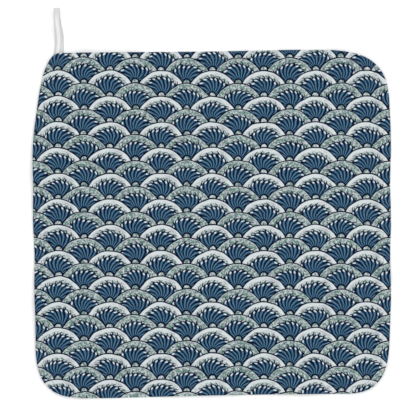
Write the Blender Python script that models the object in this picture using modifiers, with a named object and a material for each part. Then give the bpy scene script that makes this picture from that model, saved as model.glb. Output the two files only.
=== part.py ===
"""A square hand towel of printed cotton, with round corners, a turned hem and a hanging loop of tape.

It lies face up on a level surface at z = 0. X runs along the towel's top edge, Y up the towel
towards the loop, and the origin is under the towel's middle. Sizes are in metres.
"""

import math
from collections import namedtuple

import bmesh
import bpy
from mathutils import Vector

# Cloth and its turned hem
CLOTH_THICK = 0.0012
PIECE_GAP = 0.0003
HEM_WIDTH = 0.0075
HEM_CLEAR = 0.0009
RAMP_LENGTH = 0.0048
CELLS = 36
CROWDING = 0.50

# Unevenness of the edge: a slow wave up the two sides and another along top and bottom, each
# with its length and the place of one crest
EDGE_WAVE = 0.00035
SIDE_WAVE_LENGTH = 0.062
SIDE_WAVE_CREST = 0.066
END_WAVE_LENGTH = 0.240
END_WAVE_CREST = -0.110

# Hanging loop of folded tape
TAPE_WIDTH = 0.0050
TAPE_THICK = 0.0010
LOOP_LEFT = -0.1328
LOOP_TOP = 0.1807
LOOP_RISE = 0.0085
LOOP_BEND = 0.0026
LOOP_CLOSE = 0.1470
TAPE_END = 0.1338
LOWER_SHIFT = 0.0033
SHIFT_START = 0.1740
SHIFT_END = 0.1540
UPPER_SWAY = 0.0011

# How the towel's corner passes over the ends of the tape
LIFT_MARGIN = 0.0050
LIFT_SKIRT = 0.0150

# The towel's corners, clockwise from the one with the loop. x and y are where the two sides
# would meet, reach is how far the corner's curve runs along each side, squareness is 2 for an
# ellipse and more for a fuller corner, and turn is where one side hands over to the next.
Corner = namedtuple("Corner", "x y reach_x reach_y squareness turn")
CORNERS = (
    Corner(x=-0.1505, y=0.1426, reach_x=0.0218, reach_y=0.1010, squareness=2.0, turn=72),
    Corner(x=0.1489, y=0.1457, reach_x=0.0848, reach_y=0.0796, squareness=4.2, turn=45),
    Corner(x=0.1489, y=-0.1418, reach_x=0.0544, reach_y=0.0871, squareness=4.2, turn=45),
    Corner(x=-0.1483, y=-0.1453, reach_x=0.0581, reach_y=0.0735, squareness=4.2, turn=45),
)

# How finely the curves are divided: points along a corner's curve, angles round the hem's fold
# and round each bend of the loop, and steps along the tape
ARC_STEPS = 40
FOLD_ANGLES = (0, 45, 90, 135, 180)
BEND_ANGLES = (0, 22.5, 45, 67.5, 90)
LEG_STEPS = 10
SLOPE_STEPS = 13
TAPE_CELLS = 2
SHARP_ANGLE = 40

# Finishes: colour, roughness, metallic
PRINTED_COTTON = (0.130, 0.190, 0.235), 0.90, 0.0
WHITE_TAPE = (0.780, 0.780, 0.760), 0.85, 0.0


def clear_scene():
    """Removes what the scene holds."""
    for item in list(bpy.data.objects):
        bpy.data.objects.remove(item)


def smooth(amount):
    """Eases from 0 to 1 with no slope at either end."""
    amount = min(max(amount, 0.0), 1.0)
    return amount * amount * (3 - 2 * amount)


def corner_point(corner, degrees, inset):
    """A point on a corner's curve, from 0 on its upright side to 90 on its level side."""
    inward_x = -math.copysign(1, corner.x)
    inward_y = -math.copysign(1, corner.y)
    power = corner.squareness
    # An inset corner stays as far inside on its diagonal as it is along its sides.
    shorten = inset * (math.sqrt(2) - 1) / (math.sqrt(2) * (1 - 2 ** (-1 / power)))
    across = 1 - max(math.cos(math.radians(degrees)), 0.0) ** (2 / power)
    down = 1 - max(math.sin(math.radians(degrees)), 0.0) ** (2 / power)
    x = corner.x + inward_x * (inset + (corner.reach_x - shorten) * across)
    y = corner.y + inward_y * (inset + (corner.reach_y - shorten) * down)
    return Vector((x, y))


def side_path(side, inset):
    """Close points along one side, from the turn of its first corner to that of its second."""
    first = CORNERS[side]
    second = CORNERS[(side + 1) % 4]
    level = 90 if side % 2 == 0 else 0
    steps = [step / ARC_STEPS for step in range(ARC_STEPS + 1)]
    leaving = [corner_point(first, first.turn + (level - first.turn) * s, inset) for s in steps]
    arriving = [corner_point(second, level + (second.turn - level) * s, inset) for s in steps]
    return leaving + arriving


def spaced_points(path, count):
    """Count points along a path and its last one, crowded towards its two curved ends."""
    lengths = [0.0]
    for before, after in zip(path, path[1:]):
        lengths.append(lengths[-1] + (after - before).length)
    points = []
    place = 0
    for step in range(count + 1):
        part = step / count
        wanted = lengths[-1] * (part - CROWDING * math.sin(2 * math.pi * part) / (2 * math.pi))
        while place < len(path) - 2 and lengths[place + 1] < wanted:
            place += 1
        run = max(lengths[place + 1] - lengths[place], 1e-9)
        points.append(path[place].lerp(path[place + 1], min((wanted - lengths[place]) / run, 1.0)))
    return points


def outline(inset):
    """The four sides of the towel's outline, drawn in by inset, each as its points."""
    return [spaced_points(side_path(side, inset), CELLS) for side in range(4)]


def over_tape(x, y):
    """How far the towel is lifted where its corner lies over the two ends of the tape."""
    right = LOOP_LEFT + TAPE_WIDTH + LOWER_SHIFT + LIFT_MARGIN
    away_x = max(LOOP_LEFT - LIFT_MARGIN - x, x - right, 0.0)
    away_y = max(TAPE_END - LIFT_MARGIN - y, 0.0)
    away = math.hypot(away_x, away_y)
    return (2 * TAPE_THICK + 2 * PIECE_GAP) * smooth(1 - away / LIFT_SKIRT)


def laid(point, height):
    """A flat point set in its place on the towel as it lies, with its edge a little uneven."""
    x, y = point
    up_side = math.cos(2 * math.pi * (y - SIDE_WAVE_CREST) / SIDE_WAVE_LENGTH)
    along_end = math.cos(2 * math.pi * (x - END_WAVE_CREST) / END_WAVE_LENGTH)
    wave_x = EDGE_WAVE * up_side * (x / CORNERS[1].x) ** 3
    wave_y = EDGE_WAVE * along_end * (y / CORNERS[1].y) ** 3
    return x + wave_x, y + wave_y, height + over_tape(x, y)


def hem_section():
    """The hem's cross section from the flat cloth outwards, as (inset, height) of mid cloth."""
    flat = CLOTH_THICK / 2
    bend = (CLOTH_THICK + PIECE_GAP) / 2
    centre = flat + bend
    section = [
        (HEM_WIDTH + HEM_CLEAR + RAMP_LENGTH / 2, flat + bend),
        (HEM_WIDTH + HEM_CLEAR, flat + 2 * bend),
    ]
    for degrees in FOLD_ANGLES:
        turn = math.radians(degrees)
        section.append((centre - bend * math.sin(turn), centre + bend * math.cos(turn)))
    section.append((HEM_WIDTH, flat))
    return section


def field_ring(mesh, sides):
    """Makes the flat cloth inside the hem, and gives its border's vertices in order."""
    bmesh.ops.create_grid(mesh, x_segments=CELLS, y_segments=CELLS, size=1)
    mesh.verts.ensure_lookup_table()
    across = CELLS + 1
    rows = [mesh.verts[start : start + across] for start in range(0, across**2, across)]
    top, right, bottom, left = sides
    for row, verts in enumerate(rows):
        up = row / CELLS
        for column, vert in enumerate(verts):
            along = column / CELLS
            # Each inner point is drawn from the four sides, less the corners counted twice.
            between_ends = left[row].lerp(right[CELLS - row], along)
            between_sides = bottom[CELLS - column].lerp(top[column], up)
            corners = left[0].lerp(right[CELLS], along).lerp(left[CELLS].lerp(right[0], along), up)
            vert.co = laid(between_ends + between_sides - corners, CLOTH_THICK / 2)
    upper = rows[CELLS][:CELLS]
    east = [rows[row][CELLS] for row in range(CELLS, 0, -1)]
    lower = rows[0][:0:-1]
    west = [rows[row][0] for row in range(CELLS)]
    return upper + east + lower + west


def towel_cloth(collection):
    """The printed cloth with its edge turned under all round."""
    mesh = bmesh.new()
    ring = field_ring(mesh, outline(HEM_WIDTH + HEM_CLEAR + RAMP_LENGTH))
    for inset, height in hem_section():
        outer = [mesh.verts.new(laid(point, height)) for side in outline(inset) for point in side[:-1]]
        for i, vert in enumerate(outer):
            mesh.faces.new((ring[i - 1], ring[i], vert, outer[i - 1]))
        ring = outer
    cloth = made("towel_cloth", mesh, collection)
    thicken(cloth, CLOTH_THICK)
    dress(cloth, PRINTED_COTTON)


def tape_path():
    """The tape's line seen from its side, as (y, height) of mid tape, lower leg first."""
    low = TAPE_THICK / 2
    high = low + LOOP_RISE
    tip = LOOP_TOP - TAPE_THICK / 2
    upper_end = low + TAPE_THICK + PIECE_GAP
    start = tip - LOOP_BEND
    bend = []
    for degrees in BEND_ANGLES:
        turn = math.radians(degrees)
        bend.append((start + LOOP_BEND * math.sin(turn), LOOP_BEND * (1 - math.cos(turn))))
    path = [(TAPE_END + (start - TAPE_END) * step / LEG_STEPS, low) for step in range(LEG_STEPS)]
    path += [(y, low + rise) for y, rise in bend]
    path += [(y, high - rise) for y, rise in reversed(bend)]
    for step in range(1, SLOPE_STEPS + 1):
        part = step / SLOPE_STEPS
        y = start + (LOOP_CLOSE - start) * part
        path.append((y, high + (upper_end - high) * smooth(part)))
    path.append(((LOOP_CLOSE + TAPE_END) / 2, upper_end))
    path.append((TAPE_END, upper_end))
    return path


def lower_shift(y):
    """How far the lower leg has moved to the right at y."""
    return LOWER_SHIFT * smooth((SHIFT_START - y) / (SHIFT_START - SHIFT_END))


def upper_shift(y):
    """How far the upper leg bows to the right at y, between the loop's end and its base."""
    part = (LOOP_TOP - y) / (LOOP_TOP - CORNERS[0].y)
    return UPPER_SWAY * math.sin(math.pi * min(part, 1.0) ** 2)


def hanging_loop(collection):
    """The narrow tape, folded in half, with both ends under the towel's corner."""
    mesh = bmesh.new()
    path = tape_path()
    bmesh.ops.create_grid(mesh, x_segments=TAPE_CELLS, y_segments=len(path) - 1, size=1)
    mesh.verts.ensure_lookup_table()
    for i, vert in enumerate(mesh.verts):
        station, column = divmod(i, TAPE_CELLS + 1)
        y, height = path[station]
        shift = lower_shift(y) if station < LEG_STEPS else upper_shift(y)
        vert.co = (LOOP_LEFT + shift + TAPE_WIDTH * column / TAPE_CELLS, y, height)
    loop = made("hanging_loop", mesh, collection)
    thicken(loop, TAPE_THICK)
    dress(loop, WHITE_TAPE)


def made(name, mesh, collection):
    """Turns a finished bmesh into an object in the collection."""
    data = bpy.data.meshes.new(name)
    mesh.to_mesh(data)
    mesh.free()
    data.shade_smooth()
    data.set_sharp_from_angle(angle=math.radians(SHARP_ANGLE))
    item = bpy.data.objects.new(name, data)
    collection.objects.link(item)
    return item


def thicken(item, thickness):
    """Gives a sheet its thickness, half to each side."""
    solidify = item.modifiers.new("Thickness", "SOLIDIFY")
    solidify.thickness = thickness
    solidify.offset = 0
    solidify.use_even_offset = True


def dress(item, finish):
    """Gives an object its own material."""
    colour, roughness, metallic = finish
    material = bpy.data.materials.new(item.name)
    material.use_nodes = True
    shader = material.node_tree.nodes["Principled BSDF"]
    shader.inputs["Base Color"].default_value = (*colour, 1)
    shader.inputs["Roughness"].default_value = roughness
    shader.inputs["Metallic"].default_value = metallic
    item.data.materials.append(material)


def main():
    clear_scene()
    collection = bpy.data.collections.new("loop_towel")
    bpy.context.scene.collection.children.link(collection)
    towel_cloth(collection)
    hanging_loop(collection)


main()
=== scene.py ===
"""Looks of a square hand towel of printed cotton with a loop of white tape at its corner.

The towel lies face up on a pale floor and is seen from straight above. Sizes are in metres. X runs
along the towel's top edge, Y up the towel towards the loop, and Z out of its printed face.
"""

from __future__ import annotations

import logging
import math
from dataclasses import dataclass, field
from enum import Enum
from typing import Callable, Iterable, Sequence

import bmesh
import bpy
import numpy as np
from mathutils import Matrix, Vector, kdtree, noise


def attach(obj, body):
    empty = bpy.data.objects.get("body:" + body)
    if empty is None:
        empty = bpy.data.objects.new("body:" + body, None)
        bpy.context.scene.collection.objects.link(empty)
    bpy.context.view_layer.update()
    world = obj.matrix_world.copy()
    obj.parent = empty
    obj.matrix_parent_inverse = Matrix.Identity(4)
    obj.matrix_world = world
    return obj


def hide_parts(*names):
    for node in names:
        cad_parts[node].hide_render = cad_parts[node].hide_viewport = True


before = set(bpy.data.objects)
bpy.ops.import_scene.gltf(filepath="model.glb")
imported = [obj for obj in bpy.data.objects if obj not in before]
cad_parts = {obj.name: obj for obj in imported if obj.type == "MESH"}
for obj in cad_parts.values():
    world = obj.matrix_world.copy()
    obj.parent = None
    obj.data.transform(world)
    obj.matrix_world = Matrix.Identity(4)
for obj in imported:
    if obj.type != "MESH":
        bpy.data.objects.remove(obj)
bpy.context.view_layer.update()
LOG = logging.getLogger("towel")

BODY = "root"
FLAT_MAP = "flat_cloth"
TURN = 2 * math.pi
TINY = 1e-9
MM_PER_METRE = 1000

# How much light falls on a level face, where 1 shows a surface as its own colour, and how much of
# it the fibres' gloss sends back over the colour
LIGHT_ON_FACE = 1.20
VEIL = 0.003

# The photograph: its frame, the pixel that lies at X = 0, Y = 0, and the size of a pixel
PHOTO_PIXELS = 416
PHOTO_ORIGIN = (212.5, 224.05)
PIXEL = 0.0008366

# A Mix node's sockets, by number: for numbers the one for a mask of 0 and the one for a mask of 1,
# and for colours the one below, the one above and the result
MIX_NO = 2
MIX_YES = 3
MIX_UNDER = 6
MIX_OVER = 7
MIX_RESULT = 2

Socket = bpy.types.NodeSocket
Span = tuple[float, float]
ScreenColour = tuple[float, float, float]


class Side(Enum):
    """The side of the towel that a stitch lies on, and which way is out of the cloth there."""

    FACE = 1.0
    BACK = -1.0


Stitch = tuple[np.ndarray, np.ndarray, Side]


def dye(screen: ScreenColour) -> tuple[float, float, float, float]:
    """Turns a colour as it is seen on screen into the one that the surface has.

    Args:
        screen: Its red, green and blue levels, from 0 to 255.

    Returns:
        The surface's own colour in linear light, with its alpha.
    """
    levels = [value / 255 for value in screen]
    light = [v / 12.92 if v < 0.04045 else ((v + 0.055) / 1.055) ** 2.4 for v in levels]
    return (*[max(v / LIGHT_ON_FACE - VEIL, 0.0) for v in light], 1.0)


def eased(amount: np.ndarray | float) -> np.ndarray | float:
    """Eases from 0 to 1 with no slope at either end."""
    amount = np.clip(amount, 0.0, 1.0)
    return amount * amount * (3 - 2 * amount)


def rough_noise(points: np.ndarray, scale: float, seed: float) -> np.ndarray:
    """Smooth noise between about -1 and 1 at each point.

    Args:
        points: The places, one row each, of two or three columns.
        scale: The size of the noise's lumps.
        seed: Moves the noise, so that two uses differ.

    Returns:
        One value for each place.
    """
    deep = np.zeros((len(points), 3))
    deep[:, : points.shape[1]] = points / scale
    deep[:, 2] += seed
    return np.array([noise.noise(Vector(place)) for place in deep])


class Value:
    """A number somewhere in a material's nodes, used in plain arithmetic."""

    def __init__(self, bench: Bench, socket: Socket) -> None:
        """Wraps one output socket."""
        self.bench = bench
        self.socket = socket

    def __add__(self, other: Value | float) -> Value:
        """Adds."""
        return self.bench.maths("ADD", self, other)

    __radd__ = __add__

    def __sub__(self, other: Value | float) -> Value:
        """Takes away."""
        return self.bench.maths("SUBTRACT", self, other)

    def __rsub__(self, other: float) -> Value:
        """Is taken away from a number."""
        return self.bench.maths("SUBTRACT", other, self)

    def __mul__(self, other: Value | float) -> Value:
        """Multiplies."""
        return self.bench.maths("MULTIPLY", self, other)

    __rmul__ = __mul__

    def __truediv__(self, other: Value | float) -> Value:
        """Divides."""
        return self.bench.maths("DIVIDE", self, other)

    def __gt__(self, other: Value | float) -> Value:
        """Is 1 where this is the greater, else 0."""
        return self.bench.maths("GREATER_THAN", self, other)

    def __lt__(self, other: Value | float) -> Value:
        """Is 1 where this is the less, else 0."""
        return self.bench.maths("LESS_THAN", self, other)

    def whole(self) -> Value:
        """The whole number below."""
        return self.bench.maths("FLOOR", self)

    def fraction(self) -> Value:
        """What is left over the whole number below."""
        return self.bench.maths("FRACT", self)

    def size(self) -> Value:
        """The value without its sign."""
        return self.bench.maths("ABSOLUTE", self)

    def odd(self) -> Value:
        """1 for an odd whole number, 0 for an even one."""
        return (self * 0.5).fraction() * 2

    def wave(self) -> Value:
        """Swings from 0 to 1 and back once for each whole number."""
        return self.bench.maths("SINE", self * TURN) * 0.5 + 0.5


@dataclass(frozen=True)
class Lustre:
    """How fibres shine: the weight of their sheen, their gloss, and the sheen's roughness."""

    sheen: float
    gloss: float
    sheen_roughness: float = 0.5


@dataclass(frozen=True)
class Level:
    """A level that starts at a base and changes with each of some values by a share of it."""

    base: float
    shares: tuple[float, ...]

    def at(self, *values: Value) -> Value:
        """Works the level out.

        Args:
            values: The values that it changes with, one for each share.

        Returns:
            The level.
        """
        level = self.base
        for value, share in zip(values, self.shares):
            level = level + value * share
        return level


class Bench:
    """Lays out one material's nodes."""

    def __init__(self, name: str) -> None:
        """Starts a material that holds only its shader and its output.

        Args:
            name: The material's name.
        """
        self.material = bpy.data.materials.new(name)
        self.material.use_nodes = True
        self.tree = self.material.node_tree
        self.shader = self.tree.nodes["Principled BSDF"]

    def node(
        self,
        kind: str,
        settings: dict[str, object] | None = None,
        sockets: dict[str | int, object] | None = None,
    ) -> bpy.types.Node:
        """Adds a node.

        Args:
            kind: The node's type, without the words ShaderNode.
            settings: Its own settings, set before its sockets.
            sockets: What goes into each socket: a number, a colour, a Value or another socket.

        Returns:
            The new node.
        """
        made = self.tree.nodes.new("ShaderNode" + kind)
        for name, value in (settings or {}).items():
            setattr(made, name, value)
        for name, value in (sockets or {}).items():
            self.feed(made.inputs[name], value)
        return made

    def feed(self, socket: Socket, value: object) -> None:
        """Links a value to a socket, or sets a plain number or colour on it.

        Args:
            socket: The socket that is fed.
            value: A number, a colour, a Value or another socket.
        """
        source = value.socket if isinstance(value, Value) else value
        if isinstance(source, Socket):
            self.tree.links.new(source, socket)
        else:
            socket.default_value = source

    def maths(self, operation: str, *terms: Value | float) -> Value:
        """Adds a Math node."""
        sockets = dict(enumerate(terms))
        return Value(self, self.node("Math", {"operation": operation}, sockets).outputs[0])

    def ramped(self, value: Value, low: float, high: float) -> Value:
        """Goes smoothly from 0 to 1.

        Args:
            value: The value that is looked at.
            low: Where the result is 0. It may be the greater of the two.
            high: Where the result is 1.

        Returns:
            A value from 0 to 1.
        """
        sockets = {"Value": value, "From Min": low, "From Max": high}
        made = self.node("MapRange", {"interpolation_type": "SMOOTHSTEP"}, sockets)
        return Value(self, made.outputs["Result"])

    def within(self, value: Value, limit: float, soft: float) -> Value:
        """Is 1 below a limit and 0 above it, with a soft edge just below it."""
        return self.ramped(value, limit, limit - soft)

    def chosen(self, mask: Value, yes: Value | float, no: Value | float) -> Value:
        """One number where the mask is 1, and another where it is 0."""
        made = self.node("Mix", {"data_type": "FLOAT"}, {"Factor": mask, MIX_NO: no, MIX_YES: yes})
        return Value(self, made.outputs[0])

    def mixed(self, under: object, over: object, mask: Value | float, blend: str = "MIX") -> Socket:
        """Lays one colour over another.

        Args:
            under: The colour below, or its socket.
            over: The colour above, or its socket.
            mask: How much of the upper one shows.
            blend: How the two are put together.

        Returns:
            The mixed colour's socket.
        """
        settings = {"data_type": "RGBA", "blend_type": blend, "clamp_factor": True}
        sockets = {"Factor": mask, MIX_UNDER: under, MIX_OVER: over}
        return self.node("Mix", settings, sockets).outputs[MIX_RESULT]

    def shaded(self, colour: object, tone: Value) -> Socket:
        """Darkens a colour, or what its socket gives, by a tone that leaves it alone at 1."""
        return self.mixed(colour, self.joined(tone, tone, tone), 1.0, "MULTIPLY")

    def reach(self, across: Value, up: Value) -> Value:
        """The straight distance that is so far across and so far up."""
        return self.maths("SQRT", across * across + up * up)

    def chance(self, first: Value, second: Value) -> Value:
        """A number from 0 to 1 drawn by chance for each pair of whole numbers."""
        made = self.node("TexWhiteNoise", {}, {"Vector": self.joined(first, second)})
        return Value(self, made.outputs["Value"])

    def highest(self, first: Value, *others: Value) -> Value:
        """The highest of several values at each point.

        Args:
            first: One of them.
            others: The rest.

        Returns:
            The highest.
        """
        for other in others:
            first = self.maths("MAXIMUM", first, other)
        return first

    def joined(self, x: Value | float, y: Value | float, z: Value | float = 0.0) -> Socket:
        """A vector made of three numbers."""
        return self.node("CombineXYZ", {}, {0: x, 1: y, 2: z}).outputs[0]

    def moved(self, place: Socket, by: tuple[float, float, float]) -> Socket:
        """A place moved along, where the same noise is another."""
        return self.node("VectorMath", {"operation": "ADD"}, {0: place, 1: by}).outputs[0]

    def lumps(self, place: Socket, scale: float, detail: float = 2.0, roughness: float = 0.5) -> Value:
        """Noise from 0 to 1 whose lumps are of about the scale, in metres."""
        sockets = {"Vector": place, "Scale": 1 / scale, "Detail": detail, "Roughness": roughness}
        return Value(self, self.node("TexNoise", {}, sockets).outputs[0])

    def cut_place(self) -> tuple[Value, Value, Socket]:
        """Finds where each point lay on the flat cut cloth.

        Returns:
            The place across, the place up, and both as a vector.
        """
        place = self.node("UVMap", {"uv_map": FLAT_MAP}).outputs[0]
        parts = self.node("SeparateXYZ", {}, {0: place})
        return Value(self, parts.outputs[0]), Value(self, parts.outputs[1]), place

    def raised(self, height: Value, depth: float, strength: float) -> Socket:
        """Turns a height from 0 to 1 into a bumped normal."""
        sockets = {"Height": height, "Distance": depth, "Strength": strength}
        return self.node("Bump", {}, sockets).outputs[0]

    def finished(
        self, colour: Socket, roughness: Value | float, lustre: Lustre, normal: Socket | None = None
    ) -> bpy.types.Material:
        """Feeds the shader and gives the material.

        Args:
            colour: The surface's colour.
            roughness: Its roughness.
            lustre: How its fibres shine.
            normal: Its bumped normal, if it has one.

        Returns:
            The material.
        """
        looks = {
            "Base Color": colour,
            "Roughness": roughness,
            "Sheen Weight": lustre.sheen,
            "Sheen Roughness": lustre.sheen_roughness,
            "Specular IOR Level": lustre.gloss,
        }
        if normal:
            looks["Normal"] = normal
        for name, value in looks.items():
            self.feed(self.shader.inputs[name], value)
        return self.material


@dataclass(frozen=True)
class Inks:
    """The printed cloth's colours, as the photograph shows them on screen."""

    navy: ScreenColour = (7, 18, 44)
    blue: ScreenColour = (62, 102, 132)
    deep_blue: ScreenColour = (42, 78, 107)
    light_line: ScreenColour = (118, 156, 174)
    off_white: ScreenColour = (215, 223, 225)
    grey_green: ScreenColour = (108, 141, 131)
    lilac_grey: ScreenColour = (154, 156, 167)
    bare_cloth: ScreenColour = (226, 229, 230)


@dataclass(frozen=True)
class FanSpot:
    """Where a point lies on its fan: how far out and round it, and how far across one of its ribs.

    Each rib also has a number of its own, drawn by chance. In every second row of fans dull is 1.
    """

    place: Socket
    out: Value
    turn: Value
    dull: Value
    swing: Value
    rib_luck: Value
    waver: Value


@dataclass(frozen=True)
class FanPrint:
    """A print of overlapping fans in rows: curved ribs with petal tips, beads, and a dappled rim.

    Widths and distances are in radii of a fan, those of the strokes and light lines in widths of a
    rib, and the radius, the wobble and the noise's sizes in metres.
    """

    inks: Inks = field(default_factory=Inks)
    radius: float = 0.0215
    wobble: float = 0.0011
    wobble_size: float = 0.012
    wobble_start: Span = (3.7, 1.9)

    # How softly the large shapes, the seeds and the lines end
    soft: float = 0.012
    seed_soft: float = 0.010
    line_soft: float = 0.008

    # The rim: dark at its edge, then plain and then dappled, and plainer in every second row
    line_from: float = 0.956
    plain_from: float = 0.864
    plain_soft: float = 0.03
    row_contrast: float = 0.125
    dapple_from: float = 0.740

    # The ribs' petal tips, how ragged they and the dappled band are, and half the width of the
    # dark line along the tips
    petal_depth: float = 0.095
    tip_spread: float = 0.070
    tatter_size: float = 0.0016
    tip_tatter: float = 0.03
    band_tatter: float = 0.07
    rim: float = 0.024

    # The ribs, how they curl and waver, how far luck turns a fan's set of them, and the step that
    # keeps the ribs' numbers in one column apart from those in the next
    ribs: int = 21
    curl: float = 2.9
    luck_turn: float = 5
    waver: float = 0.45
    waver_size: float = 0.004
    column_step: int = 31

    # The navy strokes between the ribs, each rib's change of blue, and its broken light line
    stroke: float = 0.142
    stroke_growth: float = 0.12
    stroke_waver: float = 0.12
    stroke_soft: float = 0.035
    deep_to_blue: Span = (0.2, 0.7)
    light_line: float = 0.074
    light_soft: float = 0.06
    light_breaks: Span = (0.30, 0.42)

    # The bead inside each tip, the dark seed past it and the wedge between two tips. The last two
    # are drawn out along the rib, where a distance counts for only a share of itself.
    bead: float = 0.046
    bead_in: float = 0.085
    seed: float = 0.030
    seed_out: float = 0.040
    seed_along: float = 0.6
    wedge: float = 0.039
    wedge_along: float = 0.5

    # The half-round core at the fan's foot
    core_to: float = 0.150
    core_line: float = 0.040

    # The dapples' size, the share of it that the lilac blots and the specks have, how much denser
    # they lie in the dull rows, and between which levels of the noise each begins to show
    dapple_size: float = 0.0023
    dapple_roughness: float = 0.55
    lilac_share: float = 0.8
    speck_share: float = 0.55
    dull_lift: float = 0.05
    lilac_start: tuple[float, float, float] = (2.3, 5.1, 0.0)
    speck_start: tuple[float, float, float] = (7.9, 1.3, 0.0)
    green_from: Span = (0.485, 0.57)
    lilac_from: Span = (0.50, 0.60)
    speck_from: Span = (0.635, 0.70)
    vein_at: float = 0.47
    vein: float = 0.032
    vein_soft: float = 0.020
    vein_below: Span = (0.60, 0.42)

    # The hatching on the rim: its grain round and across it, the levels, its patches and strength
    hatch_grain: Span = (1.2, 16)
    hatch_from: Span = (0.47, 0.66)
    patch_size: float = 0.007
    patch_from: Span = (0.30, 0.58)
    hatch: float = 0.66

    def fan_place(self, bench: Bench, x: Value, y: Value) -> tuple[Value, Value, Value, Value]:
        """Finds which fan shows at a point, and where on it the point is.

        Fans stand in rows half a radius apart, every second row moved along by a radius, and a
        lower row covers a higher one.

        Args:
            bench: The material's nodes.
            x: The place across the cloth, in radii.
            y: The place up the cloth, in radii.

        Returns:
            The distance across and up from the fan's middle, and the fan's column and row.
        """
        row = (y * 2).whole()
        rise = y * 2 - row
        shifted = row.odd() * 0.5
        same = x * 0.5 - shifted + 0.5
        other = x * 0.5 + shifted
        across_same = (same.fraction() - 0.5) * 2
        across_other = (other.fraction() - 0.5) * 2
        below = rise * 0.5 + 0.5
        level = rise * 0.5
        above = rise * 0.5 - 0.5
        in_below = (across_other * across_other + below * below) < 1
        in_level = (across_same * across_same + level * level) < 1
        use_same = in_level * (1 - in_below)
        across = bench.chosen(use_same, across_same, across_other)
        up = bench.chosen(in_below, below, bench.chosen(in_level, level, above))
        column = bench.chosen(use_same, same.whole(), other.whole())
        step = bench.chosen(in_below, -1.0, bench.chosen(in_level, 0.0, 1.0))
        return across, up, column, row + step

    def spot(self, bench: Bench) -> FanSpot:
        """Works out where each point of the flat cloth lies on its fan.

        Args:
            bench: The material's nodes.

        Returns:
            The point's place on its fan.
        """
        x, y, place = bench.cut_place()
        start_x, start_y = self.wobble_start
        moved = bench.joined(x + start_x, y + start_y)
        bent_x = x + (bench.lumps(place, self.wobble_size, 1.0) - 0.5) * self.wobble * 2
        bent_y = y + (bench.lumps(moved, self.wobble_size, 1.0) - 0.5) * self.wobble * 2
        across, up, column, row = self.fan_place(bench, bent_x / self.radius, bent_y / self.radius)
        out = bench.reach(across, up)
        turn = bench.maths("ARCTAN2", across, up)
        luck = bench.chance(column, row)
        hand = (luck > 0.5) * 2 - 1
        waver = bench.lumps(place, self.waver_size, 1.0)
        swirl = turn * hand * (self.ribs / TURN) + out * out * self.curl + luck * self.luck_turn
        rib = swirl + (waver - 0.5) * self.waver
        rib_luck = bench.chance(rib.whole() + column * self.column_step, row)
        return FanSpot(place, out, turn, row.odd(), rib.fraction(), rib_luck, waver)

    def colour(self, bench: Bench) -> Socket:
        """Draws the print.

        Args:
            bench: The material's nodes.

        Returns:
            The socket that gives the print's colour.
        """
        inks = self.inks
        spot = self.spot(bench)
        out = spot.out
        tatter = bench.lumps(spot.place, self.tatter_size, 1.0) - 0.5
        tip = self.dapple_from + (spot.rib_luck - 0.5) * self.tip_spread
        petal = bench.maths("SINE", spot.swing * math.pi)
        inside = tip - self.petal_depth * (1 - petal) + tatter * self.tip_tatter - out
        aside = spot.swing - 0.5
        side = aside * out * (TURN / self.ribs)
        gap = (0.5 - aside.size()) * out * (TURN / self.ribs)

        dapple = self.dapple_zone(bench, spot)
        pale = bench.mixed(dye(inks.off_white), dye(inks.lilac_grey), self.hatching(bench, spot))
        ragged = out + tatter * self.band_tatter - (spot.dull - 0.5) * self.row_contrast
        plain = bench.ramped(ragged, self.plain_from, self.plain_from + self.plain_soft)
        band = bench.mixed(dapple, pale, plain)
        past_petal = bench.ramped(inside, self.line_soft, -self.line_soft)
        colour = bench.mixed(self.rib_zone(bench, spot), band, past_petal)
        bead = bench.within(bench.reach(side, out - tip + self.bead_in), self.bead, self.soft)
        colour = bench.mixed(colour, dye(inks.off_white), bead)
        colour = bench.mixed(colour, dapple, bench.within(out, self.core_to, self.soft))

        past_tip = (out - tip - self.seed_out) * self.seed_along
        past_gap = (out - tip + self.petal_depth - self.seed_out) * self.wedge_along
        dark = bench.highest(
            bench.within(bench.reach(side, past_tip), self.seed, self.seed_soft),
            bench.within(bench.reach(gap, past_gap), self.wedge, self.seed_soft),
            bench.within(inside.size(), self.rim, self.soft),
            bench.within((out - self.core_to).size(), self.core_line, self.soft),
            bench.ramped(out, self.line_from - self.line_soft, self.line_from),
        )
        return bench.mixed(colour, dye(inks.navy), dark)

    def rib_zone(self, bench: Bench, spot: FanSpot) -> Socket:
        """The blue part of a fan: curved ribs, each with a light line, and navy strokes between.

        Args:
            bench: The material's nodes.
            spot: Where the point lies on its fan.

        Returns:
            The colour's socket.
        """
        inks = self.inks
        aside = (spot.swing - 0.5).size()
        width = self.stroke + spot.out * self.stroke_growth + (spot.waver - 0.5) * self.stroke_waver
        stroke = bench.ramped(0.5 - aside - width, self.stroke_soft, -self.stroke_soft)
        bluer = bench.ramped(spot.swing, *self.deep_to_blue)
        line = bench.within(aside, self.light_line, self.light_soft)
        broken = bench.ramped(spot.waver, *self.light_breaks)
        colour = bench.mixed(dye(inks.deep_blue), dye(inks.blue), bluer)
        colour = bench.mixed(colour, dye(inks.light_line), line * broken)
        return bench.mixed(colour, dye(inks.navy), stroke)

    def hatching(self, bench: Bench, spot: FanSpot) -> Value:
        """Faint grey hatching that follows the rim, in patches.

        Args:
            bench: The material's nodes.
            spot: Where the point lies on its fan.

        Returns:
            How strongly it shows, from 0 to 1.
        """
        round_it, across_it = self.hatch_grain
        fine = bench.lumps(bench.joined(spot.turn * round_it, spot.out * across_it), 1.0, 2.0)
        patch = bench.lumps(spot.place, self.patch_size, 1.0)
        return bench.ramped(fine, *self.hatch_from) * bench.ramped(patch, *self.patch_from) * self.hatch

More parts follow.
